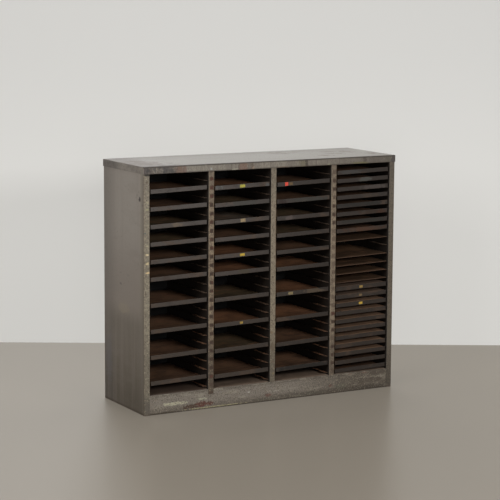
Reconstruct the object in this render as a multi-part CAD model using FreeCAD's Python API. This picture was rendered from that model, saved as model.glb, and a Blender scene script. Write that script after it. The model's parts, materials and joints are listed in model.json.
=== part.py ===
import FreeCAD
import Part
import math
import os

# Pigeonhole mail sorter in folded sheet steel.  Millimetres, +Z up.
# The origin is on the floor under the middle of the cabinet, +X runs along the
# front from left to right, and the open front faces -Y.

# ---------------------------------------------------------------- cabinet
cabinet_width = 1070.0        # across the cap, 42 1/8 in
cabinet_depth = 345.0         # front to back over the cap, 13 5/8 in
cabinet_height = 905.0        # floor to the top of the cap
bay_count = 4

# ---------------------------------------------------------------- sheet steel
cap_sheet = 1.5               # 16 gauge
panel_sheet = 1.2             # 18 gauge: sides, stiles, plinth, floor pan
skin_sheet = 1.0              # 20 gauge: liners, divider skins and back
shelf_sheet = 1.0
bend_radius = 2.0             # outside radius of a fold
cap_bend_radius = 2.5

# ---------------------------------------------------------------- cap
cap_overhang = 2.0            # the skirt stands this far outside the body
cap_skirt = 26.0              # height of the folded-down edge

# ---------------------------------------------------------------- stiles and plinth
stile_width = 23.0            # face of every upright
stile_return = 9.5            # edge folded back into the bay
plinth_height = 72.5
plinth_flange = 18.0          # top and bottom edges folded back
stile_lap = 18.0              # a stile runs down over the plinth at this divider
lapping_divider = 1
plinth_joints = (1, 3)        # its lengths meet at the right-hand edges of these dividers
floor_pan_flange = 15.0
floor_pan_gap = 0.3           # between the stile returns and the floor pan

# ---------------------------------------------------------------- runners
slot_pitch = 31.75            # 1 1/4 in
lowest_runner_rise = 8.4      # floor pan to the top of the lowest right-hand runner
left_runner_drop = 5.7        # the left-hand runner of every slot is lower, so shelves lean
top_slot_room = 40.0          # least height over the top runner
runner_sheet = 1.0
runner_reach = 11.0           # stands out of the line of the stile's edge
runner_leg = 2.5              # edge turned down along the wall and brazed to it
runner_nose = 8.0             # length of the slanted front end
runner_end_gap = 0.5          # between the stile's return and the runner's nose
runner_rear_gap = 5.0         # between the runner's rear end and the back panel

# ---------------------------------------------------------------- shelves
shelf_depth = 308.0
shelf_lip = 16.0              # height of the one edge that is turned up
shelf_hem = 6.0               # top of the lip folded back on itself
shelf_bend_radius = 1.6
shelf_setback = 3.0           # shelf front behind the faces of the stiles
shelf_side_gap = 5.5          # between a shelf and the line of the stile's edge
shelf_seat_gap = 0.2          # between a shelf and its runners

# Slots are numbered from the top.  Bays 1 to 3 have a shelf in every second slot,
# and lower down in every third.  Bay 4 has one in every slot but one.
loose_bays = (1, 2, 3)
last_close_slot = 12
full_bay = 4
empty_slot = 10
turned_round_slots = (9, 11, 12, 13, 14)   # here the lip is at the rear

# ---------------------------------------------------------------- back screws
screw_radius = 2.0            # M4 pan head
screw_hole_gap = 0.1
screw_length = 7.0
screw_head_radius = 3.6
screw_head_height = 1.8
screw_end_inset = 60.0        # from each end of a row of screws
side_screw_count = 5
rail_screw_count = 3

# ---------------------------------------------------------------- worked out
level_tolerance = 1e-6        # heights nearer than this are the same

body_left = -cabinet_width / 2 + cap_overhang
body_right = -body_left
body_front = -cabinet_depth / 2 + cap_overhang
body_back = -body_front
cap_underside = cabinet_height - cap_sheet

back_face = body_back - skin_sheet            # inside face of the back panel
stile_back = body_front + stile_return
plinth_front = body_front + panel_sheet
floor_top = plinth_height + panel_sheet

stile_spacing = (body_right - body_left - stile_width) / bay_count
bay_width = stile_spacing - stile_width       # clear between two stiles
first_stile_centre = body_left + stile_width / 2
opening_left = body_left + stile_width        # edge of the left-hand stile
opening_right = -opening_left

runner_room = cap_underside - top_slot_room - floor_top - lowest_runner_rise
slot_count = int(runner_room / slot_pitch) + 1
loose_slots = (list(range(2, last_close_slot + 1, 2))
               + list(range(last_close_slot + 3, slot_count, 3)))

shelf_front = body_front + shelf_setback
shelf_run = bay_width - shelf_side_gap - runner_reach     # left end to the right-hand runner's tip
shelf_slope = math.degrees(math.atan(left_runner_drop / shelf_run))

FACES = {"left": (0, 0), "right": (0, 1), "front": (1, 0),
         "back": (1, 1), "bottom": (2, 0), "top": (2, 1)}


def block(low, high):
    """A plain box between two corners."""
    size = [b - a for a, b in zip(low, high)]
    return Part.makeBox(*size, FreeCAD.Vector(*low))


def lies_on(edge, low, high, face):
    """True if an edge of the block lies in the named face."""
    axis, side = FACES[face]
    level = (low, high)[side][axis]
    return all(abs(v.Point[axis] - level) < level_tolerance for v in edge.Vertexes)


def folded(low, high, sheet, radius, faces):
    """Sheet folded round a block: it covers the named faces and leaves the rest open."""
    body = block(low, high)
    bends = [e for e in body.Edges if sum(lies_on(e, low, high, f) for f in faces) == 2]
    if bends:
        body = body.makeFillet(radius, bends)
    inner_low, inner_high = list(low), list(high)
    for name, (axis, side) in FACES.items():
        step = sheet if name in faces else -(sheet + radius)
        if side == 0:
            inner_low[axis] += step
        else:
            inner_high[axis] -= step
    return body.cut(block(inner_low, inner_high))


def mirrored(shape):
    """The same shape with left and right exchanged."""
    return shape.mirror(FreeCAD.Vector(0, 0, 0), FreeCAD.Vector(1, 0, 0))


def stile_centre(index):
    """X of an upright; 0 is the left side and bay_count the right side."""
    return first_stile_centre + index * stile_spacing


def runner_top(slot):
    """Height of the upper face of a slot's right-hand runner."""
    return floor_top + lowest_runner_rise + (slot_count - slot) * slot_pitch


def evenly(start, end, count):
    """Positions spread evenly from start to end."""
    return [start + (end - start) * i / (count - 1) for i in range(count)]


# ---------------------------------------------------------------- screws and their holes
def screw_places():
    """X and Z of the screws that hold the back panel."""
    flange_x = (body_left + opening_left - panel_sheet) / 2
    places = []
    for z in evenly(screw_end_inset, cap_underside - screw_end_inset, side_screw_count):
        places += [(flange_x, z), (-flange_x, z)]
    rail_end = opening_right - screw_end_inset
    for x in evenly(-rail_end, rail_end, rail_screw_count):
        places.append((x, plinth_height / 2))
    return places


def rod(x, z, radius, y_start, length):
    """A cylinder that runs along +Y."""
    return Part.makeCylinder(radius, length, FreeCAD.Vector(x, y_start, z), FreeCAD.Vector(0, 1, 0))


def drill_back(shape):
    """Clearance holes for the back screws."""
    start = back_face - screw_length
    for x, z in screw_places():
        shape = shape.cut(rod(x, z, screw_radius + screw_hole_gap, start, 2 * screw_length))
    return shape


def back_screws():
    """Pan-head screws: round heads against the back panel, shanks through it."""
    screws = []
    for x, z in screw_places():
        head = rod(x, z, screw_head_radius, body_back, screw_head_height)
        head = head.makeFillet(screw_head_height / 2, [head.Edges[0]])
        shank = rod(x, z, screw_radius, body_back - screw_length, screw_length)
        screws.append(head.fuse(shank).removeSplitter())
    return Part.makeCompound(screws)


# ---------------------------------------------------------------- casing
def top_cap():
    """Tray turned upside down, its skirt standing clear of the body all round."""
    return folded((-cabinet_width / 2, -cabinet_depth / 2, cabinet_height - cap_skirt),
                  (cabinet_width / 2, cabinet_depth / 2, cabinet_height),
                  cap_sheet, cap_bend_radius, ("left", "right", "front", "back", "top"))


def left_side_panel():
    """Outer side: its front edge is folded in as the stile, its rear and foot as flanges."""
    inner = opening_left - panel_sheet
    panel = folded((body_left, body_front, 0), (inner, back_face, cap_underside),
                   panel_sheet, bend_radius, ("left", "front", "back", "bottom"))
    stile = folded((body_left, body_front, 0), (opening_left, stile_back, cap_underside),
                   panel_sheet, bend_radius, ("left", "front", "right"))
    return drill_back(panel.fuse(stile).removeSplitter())


def divider_stile(index):
    """Upright channel on the front of a divider."""
    half = stile_width / 2
    centre = stile_centre(index)
    lap = stile_lap if index == lapping_divider else 0
    foot = plinth_height - lap
    channel = folded((centre - half, body_front, foot), (centre + half, stile_back, cap_underside),
                     panel_sheet, bend_radius, ("left", "right", "front"))
    if lap:
        channel = channel.cut(block((centre - half, plinth_front, foot),
                                    (centre + half, stile_back, plinth_height)))
    return channel


def plinth(left, right):
    """One length of the kick plate, a channel that stands on the floor."""
    return folded((left, plinth_front, 0), (right, plinth_front + plinth_flange, plinth_height),
                  panel_sheet, bend_radius, ("front", "top", "bottom"))


def rear_base_rail():
    """Channel behind the floor pan, which the back panel is screwed to."""
    rail = folded((opening_left, back_face - plinth_flange, 0),
                  (opening_right, back_face, plinth_height),
                  panel_sheet, bend_radius, ("back", "top", "bottom"))
    return drill_back(rail)


def floor_pan():
    """Bottom of the bays, resting on the plinth and the rear rail."""
    side = opening_right + panel_sheet
    return folded((-side, stile_back + floor_pan_gap, floor_top - floor_pan_flange),
                  (side, back_face - panel_sheet, floor_top),
                  panel_sheet, bend_radius, ("left", "right", "top"))


def back_panel():
    """Flat sheet over the whole rear."""
    panel = block((body_left + skin_sheet, back_face, skin_sheet),
                  (body_right - skin_sheet, body_back, cap_underside))
    return drill_back(panel)


# ---------------------------------------------------------------- walls with runners
def runner():
    """Angle strip, its top at z 0 and its wall at x 0, reaching towards +X."""
    reach = panel_sheet + runner_reach
    front = stile_back + runner_end_gap
    rear = back_face - runner_rear_gap
    corners = [(0, front), (runner_sheet, front), (reach, front + runner_nose), (reach, rear), (0, rear)]
    points = [FreeCAD.Vector(x, y, -runner_sheet) for x, y in corners]
    ledge = Part.Face(Part.makePolygon(points + points[:1]))
    ledge = ledge.extrude(FreeCAD.Vector(0, 0, runner_sheet))
    leg = block((0, front, -runner_leg), (runner_sheet, rear, 0))
    return ledge.fuse(leg).removeSplitter()


def runner_wall(face_x, bottom, rear, left_of_bay):
    """A skin and its runners; FACE_X is the skin's bay side, which the runners are fixed to."""
    if left_of_bay:
        strip, skin_low, drop = runner(), face_x - skin_sheet, left_runner_drop
    else:
        strip, skin_low, drop = mirrored(runner()), face_x, 0
    skin = block((skin_low, plinth_front, bottom), (skin_low + skin_sheet, rear, cap_underside))
    strips = []
    for slot in range(1, slot_count + 1):
        strips.append(strip.translated(FreeCAD.Vector(face_x, 0, runner_top(slot) - drop)))
    return [skin] + strips


def liner(side):
    """Inside of an outer wall; SIDE is -1 at the left and 1 at the right."""
    face_x = side * (opening_right + panel_sheet)
    bottom = floor_top - floor_pan_flange
    return Part.makeCompound(runner_wall(face_x, bottom, back_face - panel_sheet, side < 0))


def divider_skins(index):
    """Both sides of a divider, tucked inside its stile."""
    half = stile_width / 2 - panel_sheet
    centre = stile_centre(index)
    solids = runner_wall(centre - half, floor_top, back_face, False)
    solids += runner_wall(centre + half, floor_top, back_face, True)
    return Part.makeCompound(solids)


# ---------------------------------------------------------------- shelves
def shelf(bay, slot):
    """Flat plate leaning on a slot's two runners, with one edge turned up as a hemmed lip."""
    left = opening_left + (bay - 1) * stile_spacing + shelf_side_gap
    width = bay_width - 2 * shelf_side_gap
    front = shelf_front
    bottom = runner_top(slot) - left_runner_drop + shelf_seat_gap
    lip_top = bottom + shelf_lip
    fold_z = lip_top - shelf_sheet            # axis of the hem's fold
    plate = folded((left, front, bottom), (left + width, front + shelf_depth, fold_z),
                   shelf_sheet, shelf_bend_radius, ("bottom", "front"))
    hem = block((left, front + shelf_sheet, lip_top - shelf_hem),
                (left + width, front + 2 * shelf_sheet, fold_z))
    fold = Part.makeCylinder(shelf_sheet, width, FreeCAD.Vector(left, front + shelf_sheet, fold_z),
                             FreeCAD.Vector(1, 0, 0))
    plate = plate.fuse([hem, fold]).removeSplitter()
    if bay == full_bay and slot in turned_round_slots:
        middle = FreeCAD.Vector(left + width / 2, front + shelf_depth / 2, bottom)
        plate.rotate(middle, FreeCAD.Vector(0, 0, 1), 180)
    plate.rotate(FreeCAD.Vector(left, front, bottom), FreeCAD.Vector(0, -1, 0), shelf_slope)
    return plate


def full_bay_sets():
    """Slots of the full bay in pairs that share a node; an odd last slot joins its neighbours."""
    pairs = [[slot, slot + 1] for slot in range(1, slot_count, 2)]
    if slot_count % 2:
        pairs[-1].append(slot_count)
    return [[slot for slot in pair if slot != empty_slot] for pair in pairs]


def set_name(slots):
    """Node name of a set of shelves in the full bay."""
    word = "shelf" if len(slots) == 1 else "shelves"
    return "bay_%d_%s_%s" % (full_bay, word, "_".join("%02d" % s for s in slots))


def all_nodes():
    """Every node's name and shape."""
    nodes = {"top_cap": top_cap(), "left_side_panel": left_side_panel(),
             "back_panel": back_panel(), "floor_pan": floor_pan(),
             "rear_base_rail": rear_base_rail(), "back_screws": back_screws(),
             "left_liner": liner(-1), "right_liner": liner(1)}
    nodes["right_side_panel"] = mirrored(nodes["left_side_panel"])
    first_joint, last_joint = [stile_centre(index) + stile_width / 2 for index in plinth_joints]
    nodes["plinth_left"] = plinth(opening_left, first_joint)
    nodes["plinth_middle"] = plinth(first_joint, last_joint)
    nodes["plinth_right"] = plinth(last_joint, opening_right)
    for index in range(1, bay_count):
        nodes["divider_%d_stile" % index] = divider_stile(index)
        nodes["divider_%d_skins" % index] = divider_skins(index)
    for bay in loose_bays:
        for slot in loose_slots:
            nodes["bay_%d_shelf_%02d" % (bay, slot)] = shelf(bay, slot)
    for slots in full_bay_sets():
        plates = [shelf(full_bay, slot) for slot in slots]
        nodes[set_name(slots)] = plates[0] if len(plates) == 1 else Part.makeCompound(plates)
    return nodes


os.makedirs("parts", exist_ok=True)
for name, shape in all_nodes().items():
    shape.exportStep("parts/%s.step" % name)
    print("%-24s %3d solids  %9.1f cm3" % (name, len(shape.Solids), shape.Volume / 1000))
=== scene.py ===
# %% [markdown]
# # Pigeonhole mail sorter
# The cabinet is folded sheet steel: a cap, two sides, three divider stiles, a kick plate and 54 thin
# shelves on runner strips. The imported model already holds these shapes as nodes, in metres, each on the
# body that it moves with. So this lesson keeps the shapes, gives each its worn paint, and adds what isn't
# steel: paper tags, the remains of old labels and some stacks of card.

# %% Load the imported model
import json
import math
import bmesh
import bpy
from mathutils import Matrix, Vector, noise


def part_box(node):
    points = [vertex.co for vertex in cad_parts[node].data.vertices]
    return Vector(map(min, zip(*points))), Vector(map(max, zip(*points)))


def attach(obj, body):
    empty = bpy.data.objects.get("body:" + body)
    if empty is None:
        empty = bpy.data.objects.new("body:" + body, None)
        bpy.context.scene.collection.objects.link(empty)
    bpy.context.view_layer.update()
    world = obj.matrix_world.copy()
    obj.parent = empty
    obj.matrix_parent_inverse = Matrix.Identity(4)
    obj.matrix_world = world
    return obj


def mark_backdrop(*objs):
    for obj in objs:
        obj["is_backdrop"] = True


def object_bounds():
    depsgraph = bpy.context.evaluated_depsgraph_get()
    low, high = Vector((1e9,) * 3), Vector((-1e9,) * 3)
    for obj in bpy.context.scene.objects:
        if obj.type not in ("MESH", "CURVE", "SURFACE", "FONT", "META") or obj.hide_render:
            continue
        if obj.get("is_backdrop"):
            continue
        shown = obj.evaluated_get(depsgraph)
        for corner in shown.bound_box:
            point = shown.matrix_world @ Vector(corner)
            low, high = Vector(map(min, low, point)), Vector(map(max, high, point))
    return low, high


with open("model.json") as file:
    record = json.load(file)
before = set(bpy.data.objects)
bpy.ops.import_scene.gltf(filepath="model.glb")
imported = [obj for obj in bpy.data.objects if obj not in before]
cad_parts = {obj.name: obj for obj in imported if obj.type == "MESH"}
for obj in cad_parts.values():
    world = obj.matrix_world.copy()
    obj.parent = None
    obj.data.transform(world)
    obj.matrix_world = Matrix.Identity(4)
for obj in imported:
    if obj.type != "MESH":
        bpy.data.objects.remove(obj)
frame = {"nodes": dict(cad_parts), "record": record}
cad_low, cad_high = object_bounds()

nodes = frame["nodes"]
MM = 0.001


# %% [markdown]
# The camera stands well back, a little left of the middle and above the cap, behind a long lens, so the
# uprights stay nearly parallel. A camera looks along its own -Z, so three turns in a row place it: lean
# about its own axis, tilt, and then heading. Writing it as three turns keeps each angle readable.

# %% Camera
CAMERA_PLACE = Vector((-3.3433, -5.9685, 1.5591))
LENS = 131.25
HEADING, TILT, LEAN = (math.radians(a) for a in (29.2256, 8.3878, 0.348))


def add_object(name, data):
    """A new object in the scene."""
    new = bpy.data.objects.new(name, data)
    bpy.context.scene.collection.objects.link(new)
    return new


camera = add_object("camera", bpy.data.cameras.new("camera"))
camera.data.lens = LENS
turn = Matrix.Rotation(-HEADING, 4, "Z") @ Matrix.Rotation(math.pi / 2 - TILT, 4, "X")
camera.matrix_world = Matrix.Translation(CAMERA_PLACE) @ turn @ Matrix.Rotation(LEAN, 4, "Z")
bpy.context.scene.camera = camera
bpy.context.scene.view_settings.view_transform = "Standard"
print("camera", [round(c, 2) for c in CAMERA_PLACE], "lens", LENS)


# %% [markdown]
# Node trees take few lines when one helper places a node, sets it up and fills its sockets. A socket is
# filled with a plain value, or joined to another node's output. Paint is written as on a colour card,
# from 0 to 255, and turned into the linear numbers that a shader works with. Noise textures are used all
# through, so they have a helper of their own.

# %% Helpers for node trees
def paint(red, green, blue):
    """A colour-card colour as linear RGBA."""
    linear = [((c / 255 + 0.055) / 1.055) ** 2.4 for c in (red, green, blue)]
    return (*linear, 1.0)


def tone(colour, share):
    """The same colour, darker or lighter."""
    return tuple(c * share for c in colour)


def fill(tree, socket, value):
    """Joins a socket to another node's output, or gives it a plain value."""
    if isinstance(value, bpy.types.NodeSocket):
        tree.links.new(value, socket)
    elif value is not None:
        socket.default_value = value


def place(tree, kind, *values, **settings):
    """A new shader node with its first inputs filled in order; None leaves an input alone."""
    node = tree.nodes.new("ShaderNode" + kind)
    for name, setting in settings.items():
        setattr(node, name, setting)
    for index, value in enumerate(values):
        fill(tree, node.inputs[index], value)
    return node


def sum_of(tree, operation, *values):
    """One Math node."""
    return place(tree, "Math", *values, operation=operation).outputs[0]


def vector(tree, operation, *values):
    """The outputs of one Vector Math node: a vector, and a number under the name Value."""
    return place(tree, "VectorMath", *values, operation=operation).outputs


def soft_step(tree, value, low, high):
    """0 below LOW, 1 above HIGH and a smooth rise between them."""
    return place(tree, "MapRange", value, low, high, 0.0, 1.0, interpolation_type="SMOOTHSTEP").outputs[0]


def colour_mix(tree, mask, under, over):
    """One colour over another where a mask is on; a Mix node has its colours at inputs 6 and 7."""
    mix = tree.nodes.new("ShaderNodeMix")
    mix.data_type = "RGBA"
    for index, value in ((0, mask), (6, under), (7, over)):
        fill(tree, mix.inputs[index], value)
    return mix.outputs[2]


def noise_at(tree, position, scale, detail, **more):
    """The value of a Noise Texture, about 0.5 on average."""
    texture = tree.nodes.new("ShaderNodeTexNoise")
    for label, value in {"Vector": position, "Scale": scale, "Detail": detail, **more}.items():
        fill(tree, texture.inputs[label], value)
    return texture.outputs["Fac"]


print("bare steel on a colour card of 150 is", round(paint(150, 150, 150)[0], 3), "linear")


# %% [markdown]
# Wear repeats all over the cabinet, so each kind is a node group, built once and placed in every finish
# with its own numbers. The first is a cloud pattern. Stretched along Z it makes the streaks of a wiped or
# wet panel, and with narrow limits it makes flecks. Noise is used, not a picture, so it has no seams.

# %% Group: cloud pattern
def start_group(name, output, **inputs):
    """An empty group with named sockets, vectors or numbers; returns it and the insides of its ends."""
    group = bpy.data.node_groups.new(name, "ShaderNodeTree")
    for label, value in inputs.items():
        kind = "NodeSocketFloat" if isinstance(value, float) else "NodeSocketVector"
        socket = group.interface.new_socket(label, in_out="INPUT", socket_type=kind)
        if value is not None:
            socket.default_value = value
    group.interface.new_socket(output, in_out="OUTPUT", socket_type="NodeSocketFloat")
    return group, group.nodes.new("NodeGroupInput").outputs, group.nodes.new("NodeGroupOutput").inputs


group, given, result = start_group(
    "cloud pattern", "Mask", Position=None, Stretch=(1, 1, 1), Shift=(0, 0, 0),
    Scale=5.0, Detail=4.0, Low=0.4, High=0.6)
point = vector(group, "MULTIPLY_ADD", given["Position"], given["Stretch"], given["Shift"])[0]
cloud = noise_at(group, point, given["Scale"], given["Detail"], Roughness=0.62)
fill(group, result["Mask"], soft_step(group, cloud, given["Low"], given["High"]))
cloud_pattern = group
print("made the group", cloud_pattern.name)


# %% [markdown]
# The second group is one stain or scuff at a chosen place. It measures how far a point lies from the
# centre, in units of the stain's own reach along X, Y and Z, and noise makes the rim ragged. That keeps a
# stain where it belongs from every side, which a stain painted by eye on one view doesn't.

# %% Group: stain
def ragged_rim(group, far, cloud, ragged, edges):
    """A mask that is on where FAR is small; noise shifts its rim."""
    rough = sum_of(group, "MULTIPLY", sum_of(group, "SUBTRACT", cloud, 0.5), ragged)
    return soft_step(group, sum_of(group, "MULTIPLY_ADD", rough, 3.0, far), *edges)


group, given, result = start_group(
    "stain", "Mask", Position=None, Centre=(0, 0, 0), Reach=(1, 1, 1), Ragged=0.6, Grain=90.0)
offset = vector(group, "SUBTRACT", given["Position"], given["Centre"])[0]
far = vector(group, "LENGTH", vector(group, "DIVIDE", offset, given["Reach"])[0])["Value"]
cloud = noise_at(group, given["Position"], given["Grain"], 3.0)
fill(group, result["Mask"], ragged_rim(group, far, cloud, given["Ragged"], (1.15, 0.75)))
stain = group
print("made the group", stain.name)


# %% [markdown]
# Paint wears off folds first. A Bevel node gives the direction that a surface would have if its edges
# were rounded, so where that differs from the real direction, an edge is near. This works on any mesh,
# however its triangles lie, and needs no painted map.

# %% Group: worn folds
group, given, result = start_group(
    "worn folds", "Mask", Position=None, Radius=0.002, Gaps=0.5, Grain=60.0)
rounded = place(group, "Bevel", given["Radius"], samples=6).outputs["Normal"]
real = group.nodes.new("ShaderNodeNewGeometry").outputs["True Normal"]
agree = vector(group, "DOT_PRODUCT", rounded, real)["Value"]
edge = soft_step(group, agree, 0.995, 0.85)
low, high = (sum_of(group, way, given["Gaps"], 0.07) for way in ("SUBTRACT", "ADD"))
kept = soft_step(group, noise_at(group, given["Position"], given["Grain"], 4.0), low, high)
fill(group, result["Mask"], sum_of(group, "MULTIPLY", edge, kept))
worn_folds = group
print("made the group", worn_folds.name)


# %% [markdown]
# Sheet that was sprayed by hand has a fine orange peel, and years of knocks leave shallow dents. Both are
# a height for a Bump node. They are far too shallow for the mesh, so a bump is the right tool.

# %% Group: orange peel and dents
group, given, result = start_group("paint relief", "Height", Position=None, Peel=0.25, Dents=1.0)
peel = sum_of(group, "MULTIPLY", noise_at(group, given["Position"], 420.0, 2.0), given["Peel"])
dents = sum_of(group, "MULTIPLY", noise_at(group, given["Position"], 9.0, 1.0), given["Dents"])
fill(group, result["Height"], sum_of(group, "ADD", peel, dents))
paint_relief = group
print("made the group", paint_relief.name)


# %% [markdown]
# A finish is built as a painter builds it: one ground colour, and layers over it, each where a mask
# lets it show. A small class keeps the colour, the roughness and the metal of the layers so far, and
# wires them to one Principled shader at the end. What no layer changes stays a plain number on it.

# %% Layers of a finish
DARK_RUST, BARE_STEEL, BAY_DARK = (58, 40, 33), (176, 168, 150), (34, 28, 23)


class Finish:
    """One material, from the ground colour up."""

    def __init__(self, name, colour, roughness=0.5, sheen=0.5):
        self.material = bpy.data.materials.new(name)
        self.material.use_nodes = True
        self.tree = self.material.node_tree
        self.shader = self.tree.nodes["Principled BSDF"]
        self.shader.inputs["Specular IOR Level"].default_value = sheen
        self.position = self.tree.nodes.new("ShaderNodeTexCoord").outputs["Object"]
        self.now = {"Base Color": paint(*colour), "Roughness": roughness, "Metallic": 0.0}

    def mask(self, group, **values):
        """A mask from one of the shared groups."""
        node = self.tree.nodes.new("ShaderNodeGroup")
        node.node_tree = group
        fill(self.tree, node.inputs["Position"], self.position)
        for label, value in values.items():
            fill(self.tree, node.inputs[label], value)
        return node.outputs[0]

    def cloud(self, scale, low, high, detail=4.0, stretch=(1, 1, 1), shift=(0, 0, 0)):
        """Noise at a scale, cut between two limits."""
        return self.mask(cloud_pattern, Stretch=stretch, Shift=shift, Scale=scale, Detail=detail,
                         Low=low, High=high)

    def folds(self, radius, gaps, grain):
        """The worn strips beside folds and edges, with the radius in millimetres."""
        return self.mask(worn_folds, Radius=radius * MM, Gaps=gaps, Grain=grain)

    def both(self, first, second):
        """Where both masks are on."""
        return sum_of(self.tree, "MULTIPLY", first, second)

    def facing(self, axis, low=0.5, high=0.9, either=False):
        """Where the surface faces along an axis, or with EITHER along it and against it."""
        normal = self.tree.nodes.new("ShaderNodeNewGeometry").outputs["Normal"]
        part = place(self.tree, "SeparateXYZ", normal).outputs[axis]
        if either:
            part = sum_of(self.tree, "ABSOLUTE", part)
        return soft_step(self.tree, part, low, high)

    def spot(self, centre, reach, ragged=0.6, grain=120.0):
        """A stain whose centre and reach are given in millimetres."""
        return self.mask(stain, Centre=Vector(centre) * MM, Reach=Vector(reach) * MM,
                         Ragged=ragged, Grain=grain)

    def along(self, axis, start, end):
        """A mask that turns on between two places, in millimetres, along X, Y or Z."""
        parts = place(self.tree, "SeparateXYZ", self.position)
        return soft_step(self.tree, parts.outputs[axis], start * MM, end * MM)

    def layer(self, mask, colour, strength=1.0, roughness=None, metal=None):
        """Lays a colour, and if given a roughness and a metal share, over what is there."""
        if strength < 1.0:
            mask = sum_of(self.tree, "MULTIPLY", mask, strength)
        self.now["Base Color"] = colour_mix(self.tree, mask, self.now["Base Color"], paint(*colour))
        for label, value in (("Roughness", roughness), ("Metallic", metal)):
            if value is not None:
                blend = place(self.tree, "Mix", mask, None, self.now[label], value, data_type="FLOAT")
                self.now[label] = blend.outputs[0]

    def flecks(self, scale, low, high, colour=DARK_RUST, strength=0.75):
        """Fine points of rust over the layers so far."""
        self.layer(self.cloud(scale, low, high, 2.0), colour, strength, roughness=0.85)

    def done(self, peel=0.25, dents=1.0, strength=0.25, distance=0.0006):
        """Wires the layers and the relief to the shader."""
        for label, value in self.now.items():
            fill(self.tree, self.shader.inputs[label], value)
        bump = self.tree.nodes.new("ShaderNodeBump")
        bump.inputs["Strength"].default_value = strength
        bump.inputs["Distance"].default_value = distance
        fill(self.tree, bump.inputs["Height"], self.mask(paint_relief, Peel=peel, Dents=dents))
        fill(self.tree, self.shader.inputs["Normal"], bump.outputs["Normal"])
        return self.material


def coat(material, *names):
    """Gives a finish to CAD nodes or new pieces."""
    for name in names:
        slots = bpy.data.objects[name].data.materials
        slots.clear()
        slots.append(material)
    print(material.name, "on", len(names), "pieces")


print("dark rust, bare steel and the dark of a bay:", DARK_RUST, BARE_STEEL, BAY_DARK)


# %% [markdown]
# The cap takes the most knocks. Its front edge has dark rubbed patches at the left, red-brown rust bands,
# an olive patch right of the middle and a dark right-hand corner. Painted shade darkens the cap towards the
# right and lies as a dark line along its front bend. Its top is a paler grey with faint brown rings. A band
# runs the whole height of the edge, so it is a stain with a short reach in X and a long one in Z.

# %% Marks on the cap
CAP_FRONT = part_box("top_cap")[0].y / MM
CAP_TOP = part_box("top_cap")[1].z / MM
EDGE_MIDDLE = CAP_TOP - 14
SIDE_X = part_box("left_side_panel")[0].x / MM
EDGE_BANDS = (
    (-526, 14, (54, 49, 50), 0.9), (-519, 5, (38, 35, 37), 0.85), (-506, 8, (64, 57, 52), 0.8),
    (-474, 8, (80, 72, 62), 0.7), (-415, 12, (84, 73, 63), 0.6),
    (-487.5, 1.6, (48, 43, 38), 0.85), (-439, 27, (72, 66, 61), 0.8), (-447, 12, (50, 47, 48), 0.8),
    (-391, 16, (102, 78, 63), 0.85), (-374.5, 1.8, (74, 56, 47), 0.7), (-369, 6, (102, 76, 64), 0.75),
    (-180, 2, (78, 74, 60), 0.8), (-148.5, 3.5, (74, 64, 55), 0.85), (-128, 17, (104, 76, 61), 0.85),
    (-106, 6, (84, 76, 68), 0.6), (-93, 7, (82, 68, 54), 0.8), (126, 18, (92, 86, 62), 0.75),
    (139, 6.5, (52, 43, 30), 0.85), (180.5, 1.6, (68, 62, 55), 0.8), (230, 2, (86, 80, 73), 0.6),
    (396, 8, (64, 54, 47), 0.8), (446, 38, (80, 72, 64), 0.6), (500, 16, (74, 70, 58), 0.6),
    (527, 10, (58, 52, 52), 0.85))
EDGE_SPOTS = (
    (-165, 881, 12, 3, (146, 140, 124)), (-88, 884, 5, 7, (132, 112, 92)), (38, 880, 22, 2.5, (92, 74, 58)),
    (374, 882, 36, 4, (98, 92, 60)), (238, 882, 9, 3, (126, 122, 100)), (-262, 887, 5, 4, (146, 146, 144)))
TOP_RINGS = (
    (-480, -60, 60, 60), (-472, 25, 38, 22), (165, 88, 34, 26), (240, 92, 16, 12), (285, -72, 24, 20),
    (357, -22, 34, 16), (371, 62, 30, 18), (442, 35, 34, 26), (498, -78, 26, 30))
print(len(EDGE_BANDS), "bands,", len(EDGE_SPOTS), "spots and", len(TOP_RINGS), "rings")


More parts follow.
